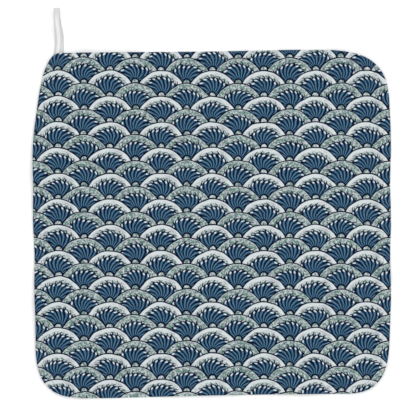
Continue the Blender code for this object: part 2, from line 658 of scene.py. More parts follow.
    def dapple_zone(self, bench: Bench, spot: FanSpot) -> Socket:
        """The dappled band: pale ground with grey-green and lilac blots and a few dark specks.

        Args:
            bench: The material's nodes.
            spot: Where the point lies on its fan.

        Returns:
            The colour's socket.
        """
        inks = self.inks
        lift = (spot.dull - 0.5) * self.dull_lift
        far = bench.moved(spot.place, self.lilac_start)
        further = bench.moved(far, self.speck_start)
        green = bench.lumps(spot.place, self.dapple_size, 2.0, self.dapple_roughness) + lift
        lilac = bench.lumps(far, self.dapple_size * self.lilac_share, 2.0, self.dapple_roughness) + lift
        specks = bench.lumps(further, self.dapple_size * self.speck_share, 1.0)
        vein = bench.within((lilac - self.vein_at).size(), self.vein, self.vein_soft)
        layers = (
            (inks.lilac_grey, bench.ramped(lilac, *self.lilac_from)),
            (inks.grey_green, bench.ramped(green, *self.green_from)),
            (inks.grey_green, vein * bench.ramped(green, *self.vein_below)),
            (inks.deep_blue, bench.ramped(specks, *self.speck_from)),
        )
        colour = dye(inks.off_white)
        for ink, mask in layers:
            colour = bench.mixed(colour, dye(ink), mask)
        return colour


@dataclass(frozen=True)
class PlainWeave:
    """Cotton threads going over and under one another.

    The slubs are long, because a distance along the thread counts for only a share of itself.
    """

    pitch: float = 0.00052
    sway: float = 0.9
    sway_size: float = 0.005
    crossing: float = 0.4
    slub_size: float = 0.0016
    slub_along: float = 0.07
    slub_start: float = 4.4
    slub_roughness: float = 0.6
    depth: float = 0.00011
    strength: float = 0.75

    def height(self, bench: Bench) -> Value:
        """Lays the threads over and under one another.

        Args:
            bench: The material's nodes.

        Returns:
            The threads' height, from 0 to 1.
        """
        x, y, place = bench.cut_place()
        sway = (bench.lumps(place, self.sway_size, 1.0) - 0.5) * self.sway
        across = x / self.pitch + sway
        up = y / self.pitch + sway
        part_x = across.fraction()
        part_y = up.fraction()
        round_x = part_x * (1 - part_x) * 4
        round_y = part_y * (1 - part_y) * 4
        turn = (across.whole() + up.whole()).odd()
        warp = round_x * (round_y * self.crossing + (1 - self.crossing))
        weft = round_y * (round_x * self.crossing + (1 - self.crossing))
        return bench.chosen(turn, warp, weft)

    def slubs(self, bench: Bench) -> Value:
        """Makes thick and thin places along the threads both ways.

        Args:
            bench: The material's nodes.

        Returns:
            The threads' thickness, from 0 to 1.
        """
        x, y, _ = bench.cut_place()
        along_x = bench.joined(x * self.slub_along, y)
        along_y = bench.joined(x + self.slub_start, y * self.slub_along)
        first = bench.lumps(along_x, self.slub_size, 2.0, self.slub_roughness)
        second = bench.lumps(along_y, self.slub_size, 2.0, self.slub_roughness)
        return (first + second) * 0.5


@dataclass(frozen=True)
class PrintedFace:
    """The cloth's printed side, where the highest threads are a little worn."""

    name: str = "printed_face"
    pattern: FanPrint = field(default_factory=FanPrint)
    weave: PlainWeave = field(default_factory=PlainWeave)
    lustre: Lustre = Lustre(0.03, 0.07, 0.6)
    roughness: Level = Level(0.86, (0.10,))
    # The tone follows the slubs' thickness, and darkens the gaps between the threads as painted shade
    tone: Level = Level(0.875, (0.12, 0.11))
    slub_height: float = 0.7
    thread_height: float = 0.75
    wear: float = 0.08
    worn_threads: Span = (0.78, 1.0)
    worn_slubs: Span = (0.50, 0.68)

    def coloured(self, bench: Bench, threads: Value, slubs: Value) -> Socket:
        """Colours the cloth.

        Args:
            bench: The material's nodes.
            threads: The threads' height.
            slubs: The threads' thickness.

        Returns:
            The colour's socket.
        """
        high = bench.ramped(threads, *self.worn_threads) * bench.ramped(slubs, *self.worn_slubs)
        bare = dye(self.pattern.inks.bare_cloth)
        return bench.mixed(self.pattern.colour(bench), bare, high * self.wear)

    def material(self) -> bpy.types.Material:
        """Builds the finish.

        Returns:
            The material.
        """
        bench = Bench(self.name)
        threads = self.weave.height(bench)
        slubs = self.weave.slubs(bench)
        # Darkens the print with thin slubs and, as painted shade, in the gaps between the threads
        colour = bench.shaded(self.coloured(bench, threads, slubs), self.tone.at(slubs, threads))
        relief = threads * self.thread_height + slubs * self.slub_height
        normal = bench.raised(relief, self.weave.depth, self.weave.strength)
        return bench.finished(colour, self.roughness.at(slubs), self.lustre, normal)


@dataclass(frozen=True)
class PaleBack(PrintedFace):
    """The cloth's wrong side, where the print only shows through."""

    name: str = "pale_back"
    roughness: Level = Level(0.88, (0.08,))
    # The tone follows the slubs' thickness, and darkens the gaps between the threads as painted shade
    tone: Level = Level(0.875, (0.12, 0.10))
    show_through: float = 0.34
    slub_soak: Level = Level(0.75, (0.5,))
    thread_soak: Level = Level(1.15, (-0.3,))

    def coloured(self, bench: Bench, threads: Value, slubs: Value) -> Socket:
        """Colours the cloth.

        Args:
            bench: The material's nodes.
            threads: The threads' height.
            slubs: The threads' thickness.

        Returns:
            The colour's socket.
        """
        soaked = self.show_through * self.slub_soak.at(slubs) * self.thread_soak.at(threads)
        return bench.mixed(dye(self.pattern.inks.bare_cloth), self.pattern.colour(bench), soaked)


@dataclass(frozen=True)
class SewingThread:
    """Spun sewing thread with its twist."""

    name: str = "hem_thread"
    screen_colour: ScreenColour = (92, 112, 128)
    lustre: Lustre = Lustre(0.05, 0.15)
    shade: Level = Level(0.78, (0.18, 0.12))
    roughness: Level = Level(0.62, (0.2,))
    twist: float = 0.00042
    fuzz_size: float = 0.00035
    depth: float = 0.00006
    strength: float = 0.6

    def material(self) -> bpy.types.Material:
        """Builds the finish.

        Returns:
            The material.
        """
        bench = Bench(self.name)
        along, round_it, place = bench.cut_place()
        ply = (along / self.twist + round_it).wave()
        fuzz = bench.lumps(place, self.fuzz_size, 2.0)
        colour = bench.shaded(dye(self.screen_colour), self.shade.at(ply, fuzz))
        normal = bench.raised(ply, self.depth, self.strength)
        return bench.finished(colour, self.roughness.at(fuzz), self.lustre, normal)


@dataclass(frozen=True)
class TapeWeave:
    """Narrow white cotton tape, ribbed across, with firm, slightly grey edges and painted shade on their
    curve, at its fold and on its lower leg.
    """

    width: float
    fold_at: float
    middle: ScreenColour = (252, 252, 252)
    # The grey of the tape's edges, also used as the colour of the painted shade at its fold and on its
    # lower leg
    edge: ScreenColour = (220, 221, 222)
    lustre: Lustre = Lustre(0.05, 0.15)
    shade: Level = Level(0.94, (0.06, 0.02))
    roughness: Level = Level(0.80, (0.12,))

    # Where the tape greys: its edges, partly their own grey and partly painted shade of their curve; a
    # stretch each side of its fold, painted shade where the tape bends away from the light; and its lower
    # leg, painted shade under the upper one. The pale strip between the edges drifts aside past the fold,
    # which paints shade on the upper leg's cupped side away from the light.
    edge_from: float = 0.16
    edge_to: float = 0.42
    fold_reach: float = 0.016
    fold_core: float = 0.3
    fold_shade: float = 0.8
    leg_shade: float = 0.2
    painted_shade_drift: float = 0.12
    drift_from: float = 0.7
    drift_to: float = 1.6
    blot_grey: Level = Level(0.75, (0.5,))
    blot_size: float = 0.0035

    # Its threads, how they wander and how they stand out
    rib: float = 0.00062
    warp: float = 0.00040
    warp_height: Level = Level(0.45, (0.55,))
    wander: float = 0.5
    wander_size: float = 0.003
    depth: float = 0.00018
    strength: float = 0.8

    def edge_grey_and_shade(self, bench: Bench, past_fold: Value, across: Value) -> Value:
        """Greys the tape's two edges, partly as their own grey and partly as painted shade, and paints
        shade at its fold and on its lower leg.

        Args:
            bench: The material's nodes.
            past_fold: How far past the fold a point is, less than 0 on the lower leg.
            across: How far it is from the tape's middle, in widths.

        Returns:
            How grey the tape is, from 0 to 1: its edges' own grey and the painted shade together.
        """
        reach = self.fold_reach
        # Moves the pale strip aside past the fold, painting shade on one side of the upper leg
        aside = bench.ramped(past_fold, reach * self.drift_from, reach * self.drift_to) * self.painted_shade_drift
        near_edge = bench.ramped((across - aside).size(), self.edge_from, self.edge_to)
        # Painted shade at the fold and on the lower leg
        fold_shade_mask = bench.ramped(past_fold.size(), reach, reach * self.fold_core)
        leg_shade_mask = bench.ramped(past_fold, 0.0, -reach)
        return bench.highest(near_edge, fold_shade_mask * self.fold_shade, leg_shade_mask * self.leg_shade)

    def material(self) -> bpy.types.Material:
        """Builds the finish.

        Returns:
            The material.
        """
        bench = Bench("tape_weave")
        along, across, place = bench.cut_place()
        wander = (bench.lumps(place, self.wander_size, 1.0) - 0.5) * self.wander
        warp = (across / self.warp).wave()
        threads = (along / self.rib + wander).wave() * self.warp_height.at(warp)
        blot = bench.lumps(place, self.blot_size, 2.0)
        # The edges' own grey, plus painted shade at the edges, the fold and the lower leg
        grey = self.edge_grey_and_shade(bench, along - self.fold_at, across / self.width)
        colour = bench.mixed(dye(self.middle), dye(self.edge), grey * self.blot_grey.at(blot))
        colour = bench.shaded(colour, self.shade.at(threads, blot))
        normal = bench.raised(threads, self.depth, self.strength)
        return bench.finished(colour, self.roughness.at(blot), self.lustre, normal)


@dataclass(frozen=True)
class PaleFloor:
    """A plain pale surface with the faintest mottling."""

    albedo: float = 0.97
    mottling: float = 0.01
    cloud_size: float = 0.4
    roughness: float = 0.9
    lustre: Lustre = Lustre(0.0, 0.1)

    def material(self) -> bpy.types.Material:
        """Builds the finish.

        Returns:
            The material.
        """
        bench = Bench("pale_floor")
        cloud = bench.lumps(bench.node("TexCoord").outputs["Object"], self.cloud_size, 2.0)
        tone = self.albedo + (cloud - 0.5) * self.mottling
        return bench.finished(bench.joined(tone, tone, tone), self.roughness, self.lustre)


@dataclass(frozen=True)
class Corner:
    """One corner of the towel.

    x and y are where its two sides would meet, reach is how far its curve runs along each side,
    squareness is 2 for an ellipse and more for a fuller corner, and turn is the angle at which one
    side hands over to the next.
    """

    x: float
    y: float
    reach_x: float
    reach_y: float
    squareness: float
    turn: float

    def curve(self, start: float, end: float, inset: float, steps: int) -> np.ndarray:
        """Points on the corner's curve, where 0 degrees is its upright side and 90 its level one.

        The reach shrinks as the inset grows, so that the curve's middle lies at the inset too.

        Args:
            start: The angle of the first point, in degrees.
            end: The angle of the last point, in degrees.
            inset: How far inside the towel's edge the curve runs, or less than 0 for outside it.
            steps: How many points there are, less one.

        Returns:
            The points, one row each.
        """
        angle = np.radians(np.linspace(start, end, steps + 1))
        pull = (math.sqrt(2) - 1) / (math.sqrt(2) * (1 - 2 ** (-1 / self.squareness)))
        power = 2 / self.squareness
        across = 1 - np.clip(np.cos(angle), 0, 1) ** power
        down = 1 - np.clip(np.sin(angle), 0, 1) ** power
        x = self.x - math.copysign(1, self.x) * (inset + (self.reach_x - inset * pull) * across)
        y = self.y - math.copysign(1, self.y) * (inset + (self.reach_y - inset * pull) * down)
        return np.stack([x, y], axis=1)


@dataclass(frozen=True)
class Outline:
    """The towel's outline, clockwise from the corner with the loop."""

    corners: tuple[Corner, ...] = (
        Corner(-0.1505, 0.1426, 0.0218, 0.1010, 2.0, 72),
        Corner(0.1489, 0.1457, 0.0848, 0.0796, 4.2, 45),
        Corner(0.1489, -0.1418, 0.0544, 0.0871, 4.2, 45),
        Corner(-0.1483, -0.1453, 0.0581, 0.0735, 4.2, 45),
    )
    cells: int = 132
    crowding: float = 0.40
    curve_steps: int = 120
    wave: float = 0.00035
    side_wave_length: float = 0.062
    side_wave_crest: float = 0.066
    end_wave_length: float = 0.240
    end_wave_crest: float = -0.110

    def side(self, index: int, inset: float) -> np.ndarray:
        """The points of one side, crowded towards its two curved ends.

        Args:
            index: The side's number, clockwise, where 0 is the top one.
            inset: How far inside the towel's edge it runs.

        Returns:
            The points, with both end points.
        """
        first = self.corners[index]
        second = self.corners[(index + 1) % 4]
        level = 90 if index % 2 == 0 else 0
        leaving = first.curve(first.turn, level, inset, self.curve_steps)
        arriving = second.curve(level, second.turn, inset, self.curve_steps)
        path = np.concatenate([leaving, arriving])
        part = np.linspace(0, 1, self.cells + 1)
        spaced = part - self.crowding * np.sin(TURN * part) / TURN
        return along_path(path, spaced * path_lengths(path)[-1])

    def ring(self, inset: float) -> np.ndarray:
        """The whole outline at an inset, each point once."""
        return np.concatenate([side[:-1] for side in self.sides(inset)])

    def sides(self, inset: float) -> list[np.ndarray]:
        """The four sides at an inset."""
        return [self.side(index, inset) for index in range(4)]

    def waved(self, points: np.ndarray) -> np.ndarray:
        """Gives flat points the edge's slow waves, which die out towards the middle.

        Args:
            points: Flat places on the towel.

        Returns:
            The same places, moved.
        """
        x, y = points[:, 0], points[:, 1]
        up_side = np.cos(TURN * (y - self.side_wave_crest) / self.side_wave_length)
        along_end = np.cos(TURN * (x - self.end_wave_crest) / self.end_wave_length)
        moved_x = x + self.wave * up_side * (x / self.corners[1].x) ** 3
        moved_y = y + self.wave * along_end * (y / self.corners[1].y) ** 3
        return np.stack([moved_x, moved_y], axis=1)


def path_lengths(path: np.ndarray) -> np.ndarray:
    """How far along a path each of its points is."""
    steps = np.linalg.norm(np.diff(path, axis=0), axis=1)
    return np.concatenate([[0.0], np.cumsum(steps)])


def along_path(path: np.ndarray, lengths: np.ndarray) -> np.ndarray:
    """The points that lie at the given lengths along a path."""
    known = path_lengths(path)
    return np.stack([np.interp(lengths, known, path[:, axis]) for axis in range(path.shape[1])], axis=1)


def new_piece(
    name: str,
    points: np.ndarray,
    faces: Iterable[Sequence[int]],
    flat: np.ndarray,
    finishes: Sequence[bpy.types.Material],
) -> bpy.types.Object:
    """Makes a smooth-shaded mesh object whose UV map holds flat places.

    Args:
        name: The piece's name.
        points: Its points.
        faces: Its faces, as numbers of points.
        flat: The flat place of each point.
        finishes: Its materials.

    Returns:
        The object, in the scene.
    """
    mesh = bpy.data.meshes.new(name)
    mesh.from_pydata(points.tolist(), [], list(faces))
    layer = mesh.uv_layers.new(name=FLAT_MAP)
    corners = np.empty(len(mesh.loops), np.int32)
    mesh.loops.foreach_get("vertex_index", corners)
    layer.uv.foreach_set("vector", flat[corners].astype(np.float32).ravel())
    mesh.shade_smooth()
    for finish in finishes:
        mesh.materials.append(finish)
    piece = bpy.data.objects.new(name, mesh)
    bpy.context.scene.collection.objects.link(piece)
    return piece


def tube_faces(first: int, rings: int, around: int) -> list[tuple[int, ...]]:
    """The faces of a tube with closed ends.

    Args:
        first: The number of its first point.
        rings: How many rings of points it has.
        around: How many points a ring has.

    Returns:
        The faces of its wall and its two ends.
    """
    last = first + (rings - 1) * around
    faces = []
    for ring in range(first, last, around):
        for step in range(around):
            here, there = ring + step, ring + (step + 1) % around
            faces.append((here, there, there + around, here + around))
    return [*faces, tuple(range(first, first + around))[::-1], tuple(range(last, last + around))]


def outward_faces(piece: bpy.types.Object) -> None:
    """Turns a closed piece's faces outwards.

    Args:
        piece: The piece.
    """
    mesh = bmesh.new()
    mesh.from_mesh(piece.data)
    bmesh.ops.recalc_face_normals(mesh, faces=mesh.faces)
    mesh.to_mesh(piece.data)
    mesh.free()


@dataclass
class LoopTape:
    """The hanging loop: one length of tape folded in half, its ends under the towel's corner."""

    width: float = 0.0050
    thick: float = 0.00068

    # Where it lies: its left edge and its top, the towel's top edge that it comes out from under,
    # where its legs meet, and where they end
    left: float = -0.1328
    top: float = 0.1806
    base: float = 0.1426
    close: float = 0.1468
    end: float = 0.1340

    # How high it stands open, how round its fold is, and the gaps below it and between its legs
    rise: float = 0.0083
    bend: float = 0.0036
    leg_gap: float = 0.0001
    floor_gap: float = 0.00020

    # How far the whole loop leans to the right, the lower leg shifts and the upper one sways
    lean: float = 0.0003
    lower_shift: float = 0.0033
    shift_start: float = 0.1760
    shift_end: float = 0.1540
    upper_sway: float = 0.0012
    sway_fall: float = 2.4

    # How finely the legs and the fold are divided
    leg_steps: int = 34
    bend_steps: int = 9

    # The section: its rounded edges, as a share of half the thickness, and how they swell
    side_points: int = 13
    nose: float = 0.8
    nose_angles: tuple[int, ...] = (60, 20, -20, -60)
    edge_swell: float = 0.22
    swell_from: float = 0.62
    swell_width: float = 0.25

    # How the tape cups and wanders where it lies free of the floor
    cup: float = 0.00016
    cup_level: float = 0.4
    free_height: float = 0.002
    wander: float = 0.00012
    wander_size: float = 0.009
    wander_start: float = 4.2

    def line(self) -> tuple[np.ndarray, int]:
        """The tape's middle seen from its side.

        Returns:
            The points across and up, lower leg first, and how many belong to the lower leg.
        """
        low = self.floor_gap + self.thick / 2
        tip = self.top - self.thick / 2
        start = tip - self.bend
        high = low + self.rise
        shut = low + self.thick + self.leg_gap
        along = np.linspace(self.end, start, self.leg_steps)
        lower = np.stack([along, np.full(self.leg_steps, low)], axis=1)
        turn = np.radians(np.linspace(0, 90, self.bend_steps))
        bend_y = start + self.bend * np.sin(turn)
        bend_z = self.bend * (1 - np.cos(turn))
        first = np.stack([bend_y, low + bend_z], axis=1)[1:]
        second = np.stack([bend_y, high - bend_z], axis=1)[::-1]
        part = np.linspace(0, 1, self.leg_steps)[1:]
        fall = high + (shut - high) * eased(part)
        down = np.stack([start + (self.close - start) * part, fall], axis=1)
        hidden = np.array([[(self.close + self.end) / 2, shut], [self.end, shut]])
        return np.concatenate([lower, first, second, down, hidden]), self.leg_steps

    def shifts(self, line: np.ndarray, lower_count: int) -> np.ndarray:
        """How far each point of the tape's line has moved to the right.

        Args:
            line: The points across and up, lower leg first.
            lower_count: How many belong to the lower leg.

        Returns:
            One distance for each point.
        """
        y = line[:, 0]
        lower = self.lower_shift * eased((self.shift_start - y) / (self.shift_start - self.shift_end))
        part = np.clip((self.top - y) / (self.top - self.base), 0, 1)
        upper = self.upper_sway * np.sin(math.pi * part**self.sway_fall)
        return np.where(np.arange(len(y)) < lower_count, lower, upper) + self.lean * (1 - part)

    def section(self) -> tuple[np.ndarray, np.ndarray]:
        """The tape's rounded cross section.

        Returns:
            Its points' places across the tape and through it.
        """
        half = self.thick / 2
        nose = half * self.nose
        across = np.linspace(-1, 1, self.side_points) * (self.width / 2 - nose)
        outwards = np.abs(across) / (self.width / 2)
        swell = 1 + self.edge_swell * eased((outwards - self.swell_from) / self.swell_width)
        over = np.stack([across, half * swell], axis=1)
        under = np.stack([across[::-1], -half * swell[::-1]], axis=1)
        turn = np.radians(self.nose_angles)
        right = np.stack([self.width / 2 - nose + nose * np.cos(turn), half * np.sin(turn)], axis=1)
        left = right[::-1] * [-1, 1]
        ring = np.concatenate([over, right, under, left])
        return ring[:, 0], ring[:, 1]

    def build(self) -> bpy.types.Object:
        """Sweeps the section along the folded line.

        Returns:
            The tape, with its material.
        """
        line, lower_count = self.line()
        shift = self.shifts(line, lower_count)
        slope = np.gradient(line, axis=0)
        slope /= np.linalg.norm(slope, axis=1, keepdims=True) + TINY
        outward = np.stack([slope[:, 1], -slope[:, 0]], axis=1)
        across, through = self.section()
        length = path_lengths(line)
        places = np.stack([length, length], axis=1)
        wander = rough_noise(places, self.wander_size, self.wander_start) * self.wander
        points = []
        flat = []
        for place, move, out, along, drift in zip(line, shift, outward, length, wander):
            free = float(eased((place[1] - self.thick) / self.free_height))
            depth = through - self.cup * free * ((across / (self.width / 2)) ** 2 - self.cup_level)
            x = self.left + self.width / 2 + move + drift * free + across
            points.append(np.stack([x, place[0] + out[0] * depth, place[1] + out[1] * depth], axis=1))
            flat.append(np.stack([np.full(len(across), along), across], axis=1))
        fold_at = float(length[int(np.argmax(line[:, 0]))])
        piece = new_piece(
            "loop_tape",
            np.concatenate(points),
            tube_faces(0, len(line), len(across)),
            np.concatenate(flat),
            [TapeWeave(self.width, fold_at).material()],
        )
        outward_faces(piece)
        return piece

    def stack(self) -> float:
        """How high the two flat legs stand above the floor under the hem."""
        return self.floor_gap + 2 * self.thick + self.leg_gap

    def underside(self, points: np.ndarray) -> np.ndarray:
        """The height of the tape's lowest face at each point, or a great height off the tape.

        Args:
            points: Places under the towel's corner, where both legs lie flat.

        Returns:
            One height for each point.
        """
        across = points[:, 0] - self.left
        held = points[:, 1] > self.end
        on_lower = held & (across > self.lower_shift) & (across < self.lower_shift + self.width)
        on_upper = held & (across > 0) & (across < self.width)
        upper_face = self.floor_gap + self.thick + self.leg_gap
        return np.where(on_lower, self.floor_gap, np.where(on_upper, upper_face, np.inf))


@dataclass(frozen=True)
class Ripples:
    """Low humps in loose cloth: their size, their noise's start, and how much it is raised."""

    size: float
    start: float
    raised: float

    def at(self, points: np.ndarray) -> np.ndarray:
        """The humps' height at each point, from 0 to 1."""
        return np.clip(rough_noise(points, self.size, self.start) + self.raised, 0, 1)


@dataclass
class PrintedCloth:
    """The towel's cloth with its edge turned under twice and stitched."""

    tape: LoopTape
    outline: Outline = field(default_factory=Outline)
    thick: float = 0.00055
    layer_gap: float = 0.00005
    floor_gap: float = 0.00003

    # The hem: its width, its rise from the flat cloth, and how finely each stretch is divided
    hem_lift: float = 0.00017
    hem: float = 0.0075
    shoulder: float = 0.0005
    ramp: float = 0.0046
    ramp_steps: int = 6
    fold_steps: int = 6
    turn_steps: int = 4

    # Its seam, with the furrow that it makes, the swell beside it and the edge that is turned in
    seam_inset: float = 0.0058
    seam_dip: float = 0.00022
    dip_width: float = 0.0007
    puff: float = 0.00016
    inner_step: float = 0.001
    raw_edge: float = 0.0016

    # Points of the hem's top and of the strip below it, as distances inwards from the seam
    top_points: tuple[float, ...] = (0.0013, 0.0006, 0, -0.0006, -0.0014, -0.0024, -0.0034, -0.0042)
    strip_points: tuple[float, ...] = (-0.0038, -0.0024, -0.0010, 0, 0.0008)

    # The corner's rise over the ends of the tape
    lift_margin: float = 0.0034
    lift_skirt: float = 0.0130

    # The waves of the loose cloth, and those of its edge
    field_wave: float = 0.0019
    broad: Ripples = Ripples(0.070, 1.5, 0.1)
    broad_power: float = 1.3
    middling: Ripples = Ripples(0.026, 8.1, 0.15)
    middling_share: float = 0.25
    edge_wave: float = 0.0034
    edge_swing: Ripples = Ripples(0.040, 5.7, 0.1)
    edge_reach: float = 0.030

    # The gathers beside the seam, and the crimps of the hem
    pucker: float = 0.00015
    gathers: Ripples = Ripples(0.0052, 3.3, 0.25)
    gather_share: float = 1.6
    gather_inset: float = 0.0092
    gather_reach: float = 0.0070
    crimps: Ripples = Ripples(0.011, 6.6, 0.2)
    crimp_reach: float = 0.006

    seam_rings: dict[Side, int] = field(init=False, default_factory=dict)
    points: np.ndarray = field(init=False, default_factory=lambda: np.zeros((0, 3)))

    @property
    def field_height(self) -> float:
        """The height of the flat cloth's middle."""
        return self.floor_gap + self.thick / 2

    @property
    def border(self) -> float:
        """How far inside the towel's edge the flat cloth ends and the hem's rise begins."""
        return self.hem + self.shoulder + self.ramp

    @property
    def over_tape(self) -> float:
        """How far the cloth is lifted where it lies over the ends of the tape."""
        return self.tape.stack() + self.layer_gap - self.floor_gap

    def hem_path(self) -> tuple[np.ndarray, list[str]]:
        """The hem's section from the flat cloth out round the edge and back under.

        Returns:
            Inset and height of the cloth's middle at each station, and a name for each.
        """
        step = self.thick + self.layer_gap
        low = self.field_height + self.hem_lift
        middle = low + step
        high = low + 2 * step
        rise = high - self.field_height
        stations: list[tuple[float, float, str]] = []
        for part in np.linspace(0, 1, self.ramp_steps + 1)[1:]:
            height = self.field_height + rise * float(eased(part))
            stations.append((self.border - self.ramp * part, height, "ramp"))
        for inwards in self.top_points:
            inset = self.seam_inset + inwards
            stations.append((inset, high + self.shaped(inset), "top" if inwards else "seam"))
        centre = self.thick / 2 + step
        for turn in np.linspace(0, math.pi, self.fold_steps + 1):
            stations.append((centre - step * math.sin(turn), middle + step * math.cos(turn), "fold"))
        for inwards in self.strip_points:
            stations.append((self.seam_inset + inwards, low, "strip" if inwards else "under_seam"))
        half = step / 2
        for turn in np.linspace(0, math.pi, self.turn_steps + 1):
            inset = self.hem - half + half * math.sin(turn)
            stations.append((inset, low + half - half * math.cos(turn), "turn"))
        for inset in (self.seam_inset - self.inner_step, self.raw_edge):
            stations.append((inset, middle, "inside"))
        return np.array([station[:2] for station in stations]), [station[2] for station in stations]

    def shaped(self, inset: float) -> float:
        """The hem's soft swell, with a furrow along its seam.

        Args:
            inset: How far inside the towel's edge the place is.

        Returns:
            How far the hem's top stands above level there.
        """
        swell = self.puff * math.sin(math.pi * min(inset / self.seam_inset, 1.0))
        furrow = self.seam_dip * math.exp(-(((inset - self.seam_inset) / self.dip_width) ** 2))
        return swell - furrow

    def held(self, points: np.ndarray) -> np.ndarray:
        """Finds where the cloth lies over the ends of the tape.

        Args:
            points: Flat places on the towel.

        Returns:
            1 over the tape, falling to 0 around it.
        """
        tape = self.tape
        left = tape.left - self.lift_margin
        right = tape.left + tape.width + tape.lower_shift + self.lift_margin
        away_x = np.maximum(np.maximum(left - points[:, 0], points[:, 0] - right), 0)
        away_y = np.maximum(tape.end - self.lift_margin - points[:, 1], 0)
        return eased(1 - np.hypot(away_x, away_y) / self.lift_skirt)

    def relaxed(self, points: np.ndarray, insets: np.ndarray) -> np.ndarray:
        """The low waves of cloth that lies loose, and the gathers beside its seam.

        Args:
            points: Flat places on the towel.
            insets: How far inside the edge each one is.

        Returns:
            How far each place stands above flat.
        """
        broad = self.broad.at(points) ** self.broad_power + self.middling.at(points) * self.middling_share
        swing = self.edge_swing.at(points) * np.exp(-((insets / self.edge_reach) ** 2))
        beside_seam = np.exp(-(((insets - self.gather_inset) / self.gather_reach) ** 2))
        gathers = self.gathers.at(points) * beside_seam * self.gather_share
        crimps = self.crimps.at(points) * np.exp(-((insets / self.crimp_reach) ** 2))
        return self.field_wave * broad + self.edge_wave * swing + self.pucker * (gathers + crimps)

    def field_grid(self) -> np.ndarray:
        """The flat cloth inside the hem, blended from its four sides.

        Returns:
            Rows of points, from the bottom up.
        """
        top, right, bottom, left = self.outline.sides(self.border)
        part = np.linspace(0, 1, self.outline.cells + 1)
        along = part[None, :, None]
        up = part[:, None, None]
        between_ends = left[:, None] * (1 - along) + right[::-1][:, None] * along
        between_sides = bottom[::-1][None] * (1 - up) + top[None] * up
        low = left[0] * (1 - along) + right[-1] * along
        high = left[-1] * (1 - along) + right[0] * along
        return between_ends + between_sides - (low * (1 - up) + high * up)

    def build(self) -> bpy.types.Object:
        """Makes the field, the hem and the cloth's thickness.

        Returns:
            The cloth, with a printed and a pale material.
        """
        around = 4 * self.outline.cells
        path, names = self.hem_path()
        grid = self.field_grid().reshape(-1, 2)
        flats = [grid]
        places = [grid]
        heights = [np.full(len(grid), self.field_height)]
        insets = [self.border + self.from_border(grid)]
        for (inset, height), length in zip(path, self.hem_lengths(path)):
            places.append(self.outline.ring(inset))
            flats.append(self.outline.ring(self.border - length))
            heights.append(np.full(around, height))
            insets.append(np.full(around, inset))
        place = np.concatenate(places)
        held = self.held(place)
        lift = self.relaxed(place, np.concatenate(insets)) * (1 - held) + self.over_tape * held
        self.points = np.column_stack([self.outline.waved(place), np.concatenate(heights) + lift])
        for side, name in ((Side.FACE, "seam"), (Side.BACK, "under_seam")):
            self.seam_rings[side] = len(grid) + names.index(name) * around
        piece = new_piece(
            "printed_cloth",
            self.points,
            self.faces(len(path)),
            np.concatenate(flats),
            [PrintedFace().material(), PaleBack().material()],
        )
        self.thicken(piece)
        return piece

    def hem_lengths(self, path: np.ndarray) -> np.ndarray:
        """How far each station of the hem is from the border, along the cloth."""
        start = np.array([[self.border, self.field_height]])
        return path_lengths(np.concatenate([start, path]))[1:]

    def cut_size(self) -> tuple[float, float, float]:
        """Measures the flat cloth as it was cut, before its edge was turned.

        Returns:
            Its width, its height and its area.
        """
        path, _ = self.hem_path()
        ring = self.outline.ring(self.border - self.hem_lengths(path)[-1])
        ahead = np.roll(ring, -1, axis=0)
        area = abs(float(np.sum(ring[:, 0] * ahead[:, 1] - ahead[:, 0] * ring[:, 1]))) / 2
        width, height = np.ptp(ring, axis=0).tolist()
        return width, height, area

    def from_border(self, points: np.ndarray) -> np.ndarray:
        """Measures how far the field's points are from its border.

        Args:
            points: Flat places in the field.

        Returns:
            One distance for each point.
        """
        ring = self.outline.ring(self.border)
        tree = kdtree.KDTree(len(ring))
        for number, place in enumerate(ring):
            tree.insert((*place, 0.0), number)
        tree.balance()
        return np.array([tree.find((*place, 0.0))[2] for place in points])

    def faces(self, rings: int) -> list[tuple[int, int, int, int]]:
        """The faces of the field and of the hem's rings.

        Args:
            rings: How many rings of points the hem has.

        Returns:
            Each face's four points, by number.
        """
        around = 4 * self.outline.cells
        wide = self.outline.cells + 1
        number = np.arange(wide**2).reshape(wide, wide)
        squares = [number[:-1, :-1], number[:-1, 1:], number[1:, 1:], number[1:, :-1]]
        inner = np.concatenate([number[-1, :-1], number[:0:-1, -1], number[0, :0:-1], number[:-1, 0]])
        made = [np.stack(squares, axis=-1).reshape(-1, 4)]
        for ring in range(rings):
            outer = wide**2 + ring * around + np.arange(around)
            made.append(np.stack([np.roll(inner, 1), inner, outer, np.roll(outer, 1)], axis=-1))
            inner = outer
        return [tuple(face) for face in np.concatenate(made).tolist()]

    def thicken(self, piece: bpy.types.Object) -> None:
        """Gives the sheet its thickness, with the pale material on its wrong side.

        Args:
            piece: The cloth.
        """
        solidify = piece.modifiers.new("Cloth thickness", "SOLIDIFY")
        solidify.thickness = self.thick
        solidify.offset = 0
        solidify.use_even_offset = True
        solidify.material_offset = 1
        solidify.material_offset_rim = 1

    def seam_line(self, side: Side) -> np.ndarray:
        """The seam's closed line on the hem's printed top, or on the turned strip's underside.

        It starts and ends far from the tape. Below the tape it lies on the tape's own underside.

        Args:
            side: The side of the towel.

        Returns:
            The line's points, the first one again at the end.
        """
        first = self.seam_rings[side]
        count = 4 * self.outline.cells
        line = np.roll(self.points[first : first + count], count // 2, axis=0)
        line[:, 2] += side.value * self.thick / 2
        if side is Side.BACK:
            line[:, 2] = np.minimum(line[:, 2], self.tape.underside(line))
        return np.concatenate([line, line[:1]])


